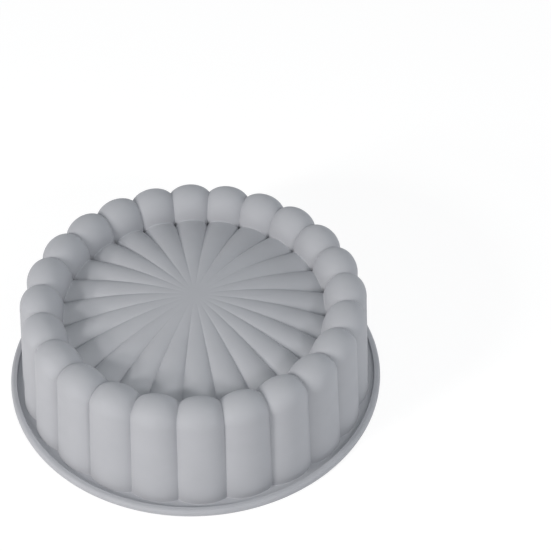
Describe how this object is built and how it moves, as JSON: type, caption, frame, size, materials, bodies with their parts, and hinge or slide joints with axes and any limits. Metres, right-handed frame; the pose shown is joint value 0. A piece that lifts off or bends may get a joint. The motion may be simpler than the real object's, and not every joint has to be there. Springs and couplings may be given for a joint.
{
  "type": "silicone cake mould",
  "caption": "Round flexible mould for a mousse cake, with a fluted wall, ball-ended lobes round a recessed fluted floor, and a beaded flange.",
  "frame": {"origin": "middle of the mouth plane, which the mould stands on with its closed side up", "axes": "+Z along the mould's axis towards the closed side; +X and +Y each run through the crest of a lobe"},
  "size_m": [0.205, 0.205, 0.0621],
  "materials": {
    "flange_silicone": "satin outside, glossy inside",
    "rim_bead_silicone": "satin outside, glossy inside",
    "wall_silicone": "satin outside, glossy inside",
    "crown_silicone": "satin outside, glossy inside",
    "floor_silicone": "satin outside, glossy inside"
  },
  "bodies": {
    "root": {"flange": "flange_silicone", "rim_bead": "rim_bead_silicone", "fluted_wall": "wall_silicone", "lobed_crown": "crown_silicone", "fluted_floor": "floor_silicone"}
  },
  "joints": []
}
